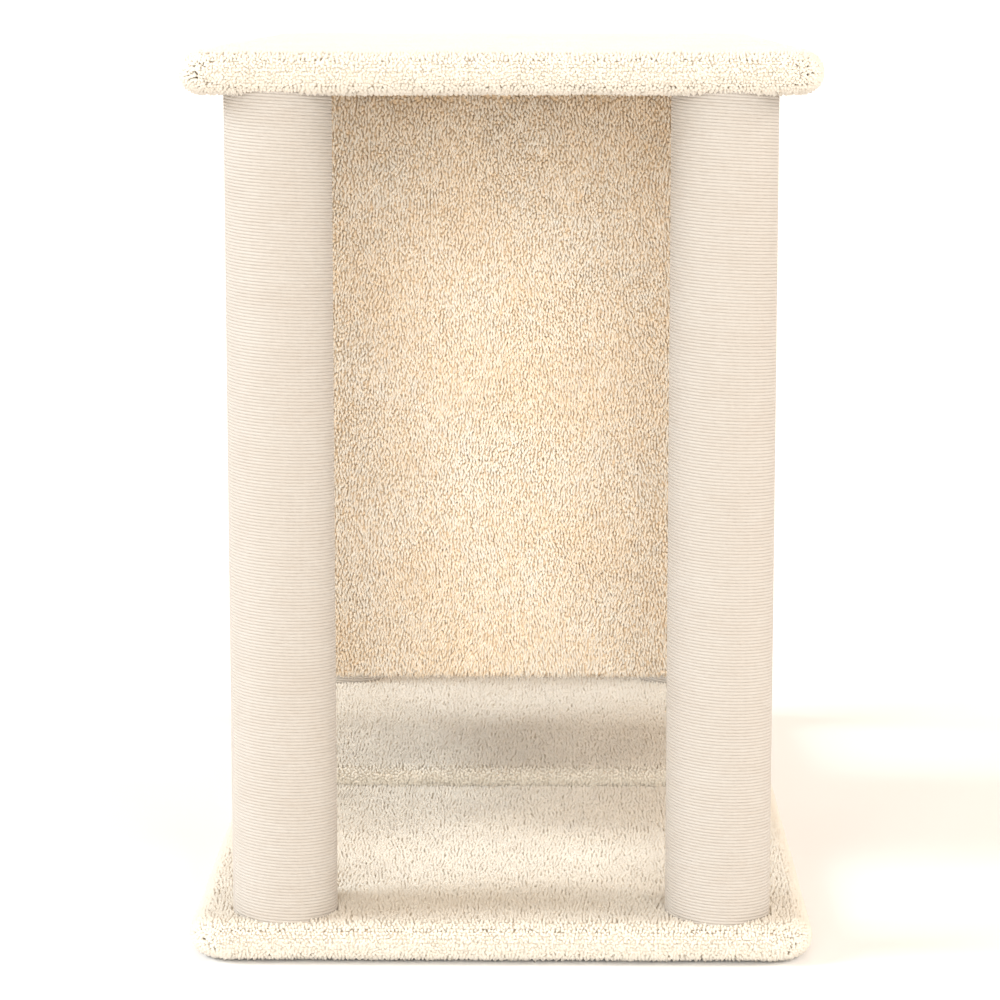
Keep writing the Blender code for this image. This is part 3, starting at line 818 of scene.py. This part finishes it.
class Wardrobe:
    """Every finish of the cat tree, made once."""

    def __init__(self) -> None:
        """Builds the materials."""
        self.plush = PlushFinish("plush").material()
        # The house plush carries more painted shade than the boards' plush: a deeper tan at the roots and
        # strong random clouds of painted nap shading.
        self.shag = PlushFinish(
            "house_plush",
            tip=(0.99, 0.925, 0.82),
            root=(0.98, 0.775, 0.55),
            clump_depth=0.45,
            shade_cloud_size=0.06,
            shade_cloud_depth=1.1,
        ).material()
        self.webbing = WebbingFinish("webbing").material()
        cloth = ((0.84, 0.80, 0.72), (0.72, 0.67, 0.58))
        self.liner = ClothFinish("liner", *cloth, 0.0012, 0.0003).material()
        wood = ((0.74, 0.59, 0.40), (0.50, 0.35, 0.21))
        self.board = HardFinish("board", Pattern.CHIPS, *wood, 0.8).material()
        brown = ((0.60, 0.46, 0.31), (0.46, 0.34, 0.22))
        self.card = HardFinish("card_tube", Pattern.CARD, *brown, 0.85).material()
        cream = ((0.84, 0.80, 0.71), (0.76, 0.71, 0.61))
        self.plug = HardFinish("plug", Pattern.MOULDED, *cream, 0.5).material()
        steel = ((0.80, 0.80, 0.80), (0.60, 0.61, 0.62))
        self.zinc = HardFinish("zinc_steel", Pattern.SPANGLE, *steel, 0.34, 1.0).material()

    def dress_solids(self) -> None:
        """Gives each solid that stays visible the finish that its name asks for."""
        endings = (
            (("_board", "_wall", "_floor"), self.board),
            (("_tube",), self.card),
            (("_plug",), self.plug),
            (("_bolt", "_washer", "_stud", "_nut", "_screw"), self.zinc),
            (("_front_left", "_front_right", "_rear_left", "_rear_right"), self.zinc),
        )
        for name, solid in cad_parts.items():
            if solid.hide_render:
                continue
            finish = next(material for ends, material in endings if name.endswith(ends))
            dress(solid, finish)
            LOG.info("%s: %s", name, finish.name)


def settle(obj: bpy.types.Object, slot: str, *solids: str) -> None:
    """Makes a finished piece ride on the cat tree, in place of the solids that it stands for."""
    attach(obj, BODY)
    if solids:
        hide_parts(*solids)
    count = sum(len(face.vertices) - 2 for face in obj.data.polygons)
    LOG.info("%s: %d triangles", obj.name, count)


@dataclass
class CoveredBoard:
    """A board wrapped in plush that is turned under it: a backing cloth with pile on its outside."""

    name: str
    core: str
    corner: float
    wardrobe: Wardrobe
    tree: PileTree
    opening: str = ""
    sunk: float = 0.0
    floor: float = -1.0
    seed: float = 1.0
    pile_height: float = 0.0024
    cell: float = 0.012

    def __post_init__(self) -> None:
        """Reads the cover's and the core's boxes."""
        self.low, self.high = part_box(self.name)
        self.core_low, self.core_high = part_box(self.core)
        inset = Vector((self.pile_height,) * 3)
        self.skin_low = self.low + inset
        self.skin_high = self.high - inset
        if self.sunk > 0:
            self.skin_low.z = self.low.z - self.sunk

    def skin(self) -> bpy.types.Object:
        """Makes the outside of the backing cloth, closed and not yet hollow."""
        half = (self.skin_high.z - self.skin_low.z) / 2
        edges = (half, 0.0) if self.sunk > 0 else (half - GAP, half - GAP)
        corner = self.corner - self.pile_height
        slab = Slab(self.skin_low, self.skin_high, corner, *edges, segments=8, cell=self.cell)
        skin = slab.build(self.name + "_skin")
        ruffle(skin, 0.0005, 0.045, self.seed)
        return skin

    def hollow(self, skin: bpy.types.Object) -> None:
        """Cuts the room for the core, and the opening in the hem."""
        grow = Vector((GAP,) * 3)
        low = self.core_low - grow
        high = self.core_high + grow
        tools = [Slab(low, high, self.corner / 2).build("room")]
        if self.opening:
            under_low, under_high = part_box(self.opening)
            low = (under_low.x - GAP, under_low.y - GAP, self.low.z - self.pile_height)
            high = (under_high.x + GAP, under_high.y + GAP, self.core_low.z + GAP)
            tools.append(Slab(low, high).build("opening"))
        carve(skin, tools)

    def pile(self, skin: bpy.types.Object, *beds: Pile) -> list[bpy.types.Object]:
        """Grows beds of pile on the skin, and returns one object of tufts for each bed."""
        grown = [bed.grow(self.tree, f"{self.name}_{bed.side.name.lower()}", skin) for bed in beds]
        for tufts in grown:
            if self.floor >= 0:
                keep_above(tufts, self.floor)
        return grown


def within(box: tuple[Vector, Vector], margin: float, bottom: float, top: float) -> dict[str, Corner]:
    """Returns the room that pile keeps clear: a box less a margin, between two heights."""
    low, high = box
    return {
        "clear_low": (low.x + margin, low.y + margin, bottom),
        "clear_high": (high.x - margin, high.y - margin, top),
    }


@dataclass(frozen=True)
class Boards:
    """The covers of the three boards. The posts are given as their X and Y, both ways, and their radius."""

    wardrobe: Wardrobe
    tree: PileTree
    posts: tuple[float, float, float]

    def build(self) -> None:
        """Makes the covers of the base, the step and the top board."""
        self._base()
        self._step()
        self._top()

    def _cover(self, board: CoveredBoard, name: str, *beds: Pile) -> list[bpy.types.Object]:
        """Makes one board's cover.

        Args:
            board: The board.
            name: The piece's name.
            beds: The pile. A bed on the top board's upper side stays a piece of its own.

        Returns:
            The tufts that stay separate.
        """
        skin = board.skin()
        grown = board.pile(skin, *beds)
        apart = 1 if name == "top_plush" else 0
        board.hollow(skin)
        dress(skin, self.wardrobe.plush)
        settle(joined(name, [skin, *grown[apart:]]), "plush", board.name)
        return grown[:apart]

    def _base(self) -> None:
        """Makes the base board's cover."""
        finishes = (self.wardrobe, self.tree)
        board = CoveredBoard(
            "base_plush_cover", "base_board", 0.025, *finishes, "base_liner", floor=GAP, seed=1.7
        )
        under_step = within(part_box("step_plush_cover"), 0.006, board.core_high.z, 1.0)
        hem = within(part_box("base_liner"), 0.0, -1.0, board.core_low.z)
        surface = Pile(Side.TOP, posts=self.posts, seed=11, **under_step)
        under = Pile(Side.UNDER, seed=13, **hem, **SPARSE)
        self._cover(board, "base_plush", surface, Pile(Side.RIM, seed=12, **SHORT), under)

    def _step(self) -> None:
        """Makes the step board's cover."""
        finishes = (self.wardrobe, self.tree)
        board = CoveredBoard("step_plush_cover", "step_board", 0.020, *finishes, sunk=0.002, seed=5.2)
        surface = Pile(Side.TOP, posts=self.posts, seed=21)
        self._cover(board, "step_plush", surface, Pile(Side.RIM, seed=22, **HANGING))

    def _top(self) -> None:
        """Makes the top board's cover and the plush panel under it."""
        finishes = (self.wardrobe, self.tree)
        board = CoveredBoard(
            "top_plush_cover", "top_board", 0.025, *finishes, "top_underside_plush", seed=8.4
        )
        panel_low, panel_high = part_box("top_underside_plush")
        hem = within((panel_low, panel_high), 0.0, 0.0, board.core_low.z)
        under = Pile(Side.UNDER, posts=self.posts, seed=33, **hem, **THIN)
        beds = (Pile(Side.TOP, seed=31), Pile(Side.RIM, seed=32, **SHORT), under)
        (surface,) = self._cover(board, "top_plush", *beds)
        surface.name = "top_plush_surface"
        settle(surface, "plush")
        sheet_low = (panel_low.x, panel_low.y, panel_low.z + board.pile_height)
        panel = Slab(sheet_low, panel_high, cell=0.012).build("panel")
        under_house = within(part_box("house_plush_cover"), 0.004, 0.0, 1.0)
        bed = Pile(Side.UNDER, posts=self.posts, seed=34, **under_house, **THIN)
        tufts = bed.grow(self.tree, "panel_pile", panel)
        dress(panel, self.wardrobe.plush)
        settle(joined("top_underside", [panel, tufts]), "plush", "top_underside_plush")


@dataclass
class House:
    """The plush house under the top board: its cover, turned in at both entrances, and its lining."""

    wardrobe: Wardrobe
    tree: PileTree
    pile_height: float = 0.0024
    nap_height: float = 0.0014
    backing: float = 0.0045
    entrance: float = 0.085
    corner: float = 0.008
    edge: float = 0.006
    lip: float = 0.0025
    pressed: float = 0.002
    cell: float = 0.012

    def __post_init__(self) -> None:
        """Reads the boxes of the cover, the walls and the lining."""
        self.low, self.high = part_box("house_plush_cover")
        self.wall_low, self.wall_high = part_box("house_left_wall")
        self.lining_low, self.lining_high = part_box("house_lining")
        self.outer_x = self.high.x
        self.inner_x = -self.wall_high.x
        self.height = self._entrance_height()

    def _entrance_height(self) -> float:
        """Returns how high the middle of the entrances is, from the round edge in the wall board."""
        points = points_of(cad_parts["house_left_wall"].data)
        inside = (np.abs(points[:, 1]) < self.wall_high.y - GAP) & (points[:, 2] < self.wall_high.z - GAP)
        ring = points[inside & (points[:, 2] > self.wall_low.z + GAP)]
        return float((ring[:, 2].min() + ring[:, 2].max()) / 2)

    def build(self) -> None:
        """Makes the cover with its pile, the collars and the lining."""
        skin = self._skin()
        doorway = (self.height, self.entrance + self.pile_height)
        walls = enumerate((Side.FRONT, Side.REAR, Side.LEFT, Side.RIGHT), 41)
        beds = [Pile(side, entrance=doorway, seed=seed, **LONG) for seed, side in walls]
        beds.append(Pile(Side.BOTTOM, spacing=0.0025, width=0.0056, seed=45))
        grown = [bed.grow(self.tree, f"house_{bed.side.name.lower()}_pile", skin) for bed in beds]
        collars = [self._collar_pile(sign) for sign in (-1, 1)]
        self._hollow(skin)
        dress(skin, self.wardrobe.shag)
        cover = joined("house_cover", [skin, *collars])
        settle(cover, "plush", "house_plush_cover")
        for tufts in grown:
            settle(tufts, "plush")
        self._lining()

    def _skin(self) -> bpy.types.Object:
        """Makes the outside of the cover's backing cloth."""
        low = self.low + Vector((self.pile_height,) * 3)
        high = Vector((-low.x, -low.y, self.high.z + self.pressed))
        corner = self.corner - self.pile_height
        edge = self.edge - self.pile_height
        slab = Slab(low, high, corner, 0.0, edge, cell=self.cell)
        skin = slab.build("house_skin")
        ruffle(skin, 0.0006, 0.050, 12.6)
        return skin

    def _across(self, name: str, radius: float, start: float, end: float) -> bpy.types.Object:
        """Makes a cylinder along X at the entrances' height."""
        centre = Vector((0.0, 0.0, self.height))
        ends = (Vector((start, 0.0, 0.0)) + centre, Vector((end, 0.0, 0.0)) + centre)
        return rod(name, radius, *ends, sides=96)

    def _hollow(self, skin: bpy.types.Object) -> None:
        """Cuts the room for the walls, adds the collars and opens both entrances."""
        low = self.low + Vector((self.backing,) * 3)
        high = Vector((-low.x, -low.y, self.high.z + self.pressed * 2))
        carve(skin, [Slab(low, high).build("room")])
        collars = []
        for sign in (-1, 1):
            ends = (sign * self.inner_x, sign * (self.outer_x - self.backing / 2 - self.pile_height / 2))
            collars.append(self._across("collar", self.entrance + self.backing, *ends))
        carve(skin, collars, "UNION")
        doorway = self._across("doorway", self.entrance + self.pile_height, -1.0, 1.0)
        carve(skin, [doorway])

    def _collar_pile(self, sign: int) -> bpy.types.Object:
        """Grows the pile on the plush that is turned in round one entrance.

        Args:
            sign: -1 for the left entrance, 1 for the right one.

        Returns:
            The tufts.
        """
        radius = self.entrance + self.pile_height
        face = self.outer_x - self.pile_height
        bend = [math.pi / 2 * index / 4 for index in range(5)]
        outline = [(radius, self.inner_x)]
        for angle in bend:
            out, back = 1 - math.cos(angle), 1 - math.sin(angle)
            outline.append((radius + self.lip * out, face - self.lip * back))
        bed = spun("collar_bed", outline, Vector((0.0, 0.0, self.height)), Vector((sign, 0.0, 0.0)), 96)
        tufts = Pile(Side.ALL, seed=46 + sign).grow(self.tree, "collar_pile", bed)
        discard(bed)
        return tufts

    def _lining(self) -> None:
        """Makes the lining: a tub of short-nap cloth, open at the top and round both entrances."""
        thickness = Vector((LINING,) * 3)
        inset = Vector((self.nap_height,) * 3)
        bed_low = self.lining_low + thickness - inset
        bed_high = self.lining_high - thickness + inset
        corners = (tuple(bed_low), (bed_high.x, bed_high.y, self.lining_high.z))
        bed = Slab(*corners, cell=self.cell, inward=True).build("lining_bed")
        doorway = (self.height, self.entrance + self.nap_height)
        floor = Pile(Side.TOP, seed=51, entrance=doorway, **NAP).grow(self.tree, "lining_floor", bed)
        walls = Pile(Side.RIM, seed=52, entrance=doorway, **NAP).grow(self.tree, "lining_walls", bed)
        discard(bed)
        tub = Slab(self.lining_low, self.lining_high, cell=self.cell).build("tub")
        hollow = Slab(corners[0], (*corners[1][:2], self.lining_high.z + LINING)).build("tub_room")
        carve(tub, [hollow, self._across("tub_doorway", self.entrance + self.nap_height, -1.0, 1.0)])
        dress(tub, self.wardrobe.plush)
        settle(joined("lining", [tub, floor, walls]), "lining", "house_lining")


@dataclass
class Post:
    """A post wound in ribbed webbing: a cloth sleeve with strands side by side round it."""

    name: str
    wardrobe: Wardrobe
    tree: WindingTree
    pitch: float = 0.00178
    strands: int = 6
    steps: int = 30
    bulge: float = 0.00050
    pressed: float = 0.0044
    turned: float = 2.3

    def build(self) -> None:
        """Makes the post's webbing."""
        low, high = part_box(self.name + "_wrap")
        tube_low, tube_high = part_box(self.name + "_tube")
        centre = (low + high) / 2
        radius = (high.x - low.x) / 2 - self.bulge
        inner = (tube_high.x - tube_low.x) / 2 + GAP
        bottom = low.z - self.pressed
        top = high.z + self.pressed
        rise = self.pitch * self.strands
        turns = (top - bottom) / rise + 2.0
        sizes = {"Radius": radius, "Pitch": self.pitch, "Turns": turns, "Bulge": self.bulge}
        sizes |= {"Strands": self.strands, "Steps": self.steps}
        strands = self.tree.run(self.name + "_strands", bpy.data.meshes.new("empty"), sizes)
        turn = Matrix.Rotation(self.turned * POSTS.index(self.name), 4, "Z")
        strands.data.transform(Matrix.Translation((centre.x, centre.y, bottom - rise)) @ turn)
        self._trim(strands, bottom, top)
        outline = [(inner, bottom), (radius, bottom), (radius, top), (inner, top), (inner, bottom)]
        sleeve = spun("sleeve", outline, Vector((centre.x, centre.y, 0.0)), Vector((0.0, 0.0, 1.0)), 48)
        dress(sleeve, self.wardrobe.webbing)
        settle(joined(self.name + "_webbing", [sleeve, strands]), "webbing", self.name + "_wrap")

    @staticmethod
    def _trim(strands: bpy.types.Object, bottom: float, top: float) -> None:
        """Cuts the strands level at both ends and closes the cut ends."""
        shape = bmesh.new()
        shape.from_mesh(strands.data)
        for height, way in ((bottom, -1.0), (top, 1.0)):
            geometry = [*shape.verts, *shape.edges, *shape.faces]
            plane = {"plane_co": (0.0, 0.0, height), "plane_no": (0.0, 0.0, way)}
            bmesh.ops.bisect_plane(shape, geom=geometry, dist=MERGE / 10, clear_outer=True, **plane)
        rims = [edge for edge in shape.edges if edge.is_boundary]
        bmesh.ops.holes_fill(shape, edges=rims)
        shape.to_mesh(strands.data)
        shape.free()


def underside(wardrobe: Wardrobe) -> None:
    """Makes the liner that closes the base's underside, and the staples that hold it.

    Args:
        wardrobe: The finishes.
    """
    low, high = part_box("base_liner")
    sheet = Slab(low, high, cell=0.010).build("base_liner_cloth")
    dress(sheet, wardrobe.liner)
    settle(sheet, "liner", "base_liner")
    edge = 0.007
    wire = 0.0005
    sizes = {"Spacing": 0.045, "Wire": wire, "Crown": 0.010}
    shape = bmesh.new()
    level = low.z - wire * 0.5
    corners = ((low.x, low.y), (high.x, low.y), (high.x, high.y), (low.x, high.y))
    points = [
        shape.verts.new((x - math.copysign(edge, x), y - math.copysign(edge, y), level))
        for x, y in corners
    ]
    for first, second in zip(points, [*points[1:], points[0]]):
        shape.edges.new((first, second))
    path = object_of("staple_line", shape)
    tree = StapleTree(wardrobe.zinc)
    staples = tree.run("liner_staples", path.data, sizes)
    discard(path)
    settle(staples, "zinc_steel")


@dataclass(frozen=True)
class Lamp:
    """One soft, distant light, as a direction to it and how wide it looks."""

    name: str
    towards: Corner
    strength: float
    width: float
    colour: Colour = (1.0, 1.0, 1.0)


@dataclass(frozen=True)
class Studio:
    """The camera, the lights, the pale room and the floor."""

    eye: Corner = (0.0245, -2.1082, 0.5374)
    look: Corner = (-0.01368, 0.98813, -0.15302)
    lens: float = 119.85
    room: float = 0.75
    room_colour: Colour = (1.0, 0.79, 0.58)
    lamps: tuple[Lamp, ...] = (
        Lamp("front", (0.0, -0.966, 0.26), 2.35, 50.0, (0.86, 0.91, 0.93)),
        Lamp("left", (-0.85, -0.1, 0.52), 2.20, 30.0, (0.84, 0.93, 1.0)),
        Lamp("right", (0.85, -0.1, 0.52), 1.30, 30.0, (1.0, 0.97, 0.94)),
        Lamp("back", (0.0, 0.8, 0.6), 0.50, 30.0, (0.90, 0.95, 1.0)),
    )
    floor_size: float = 400.0
    floor_light: Colour = (0.94, 0.95, 0.97)
    floor_dark: Colour = (0.92, 0.93, 0.95)

    def build(self) -> None:
        """Sets up the studio round the cat tree."""
        self._camera()
        for lamp in self.lamps:
            self._light(lamp)
        self._room()
        self._floor()
        bpy.context.scene.view_settings.view_transform = "Standard"

    def _camera(self) -> None:
        """Places the camera low in front of one short end."""
        lens = bpy.data.cameras.new("camera")
        lens.lens = self.lens
        lens.sensor_width = 36.0
        lens.clip_end = 1000.0
        camera = bpy.data.objects.new("camera", lens)
        camera.location = self.eye
        camera.rotation_euler = Vector(self.look).to_track_quat("-Z", "Y").to_euler()
        bpy.context.scene.collection.objects.link(camera)
        bpy.context.scene.camera = camera

    @staticmethod
    def _light(lamp: Lamp) -> None:
        """Places one light."""
        data = bpy.data.lights.new(lamp.name, "SUN")
        data.energy = lamp.strength
        data.angle = math.radians(lamp.width)
        data.color = lamp.colour
        light = bpy.data.objects.new(lamp.name, data)
        light.rotation_euler = Vector(lamp.towards).to_track_quat("Z", "Y").to_euler()
        bpy.context.scene.collection.objects.link(light)

    def _room(self) -> None:
        """Fills the room with even light."""
        world = bpy.data.worlds.new("room")
        world.use_nodes = True
        background = world.node_tree.nodes["Background"]
        background.inputs["Color"].default_value = (*self.room_colour, 1.0)
        background.inputs["Strength"].default_value = self.room
        bpy.context.scene.world = world

    def _floor(self) -> None:
        """Lays the pale floor."""
        shape = bmesh.new()
        bmesh.ops.create_grid(shape, x_segments=1, y_segments=1, size=self.floor_size)
        floor = object_of("floor", shape)
        surface = Surface("floor")
        grain = surface.noise(surface.place, 0.4, 2.0)
        colour = surface.mix(grain, self.floor_dark, self.floor_light)
        surface.feed(Base_Color=colour, Roughness=0.9, Specular_IOR_Level=0.1)
        dress(floor, surface.material)
        floor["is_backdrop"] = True


def main() -> None:
    """Builds every piece, then the camera, the lights and the floor."""
    wardrobe = Wardrobe()
    low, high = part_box("front_right_wrap")
    posts = ((low.x + high.x) / 2, -(low.y + high.y) / 2, (high.x - low.x) / 2 + GAP)
    Boards(wardrobe, PileTree(wardrobe.plush), posts).build()
    House(wardrobe, PileTree(wardrobe.shag)).build()
    winding = WindingTree(wardrobe.webbing)
    for name in POSTS:
        Post(name, wardrobe, winding).build()
    underside(wardrobe)
    wardrobe.dress_solids()
    Studio().build()
    low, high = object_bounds()


if __name__ == "__main__":
    main()
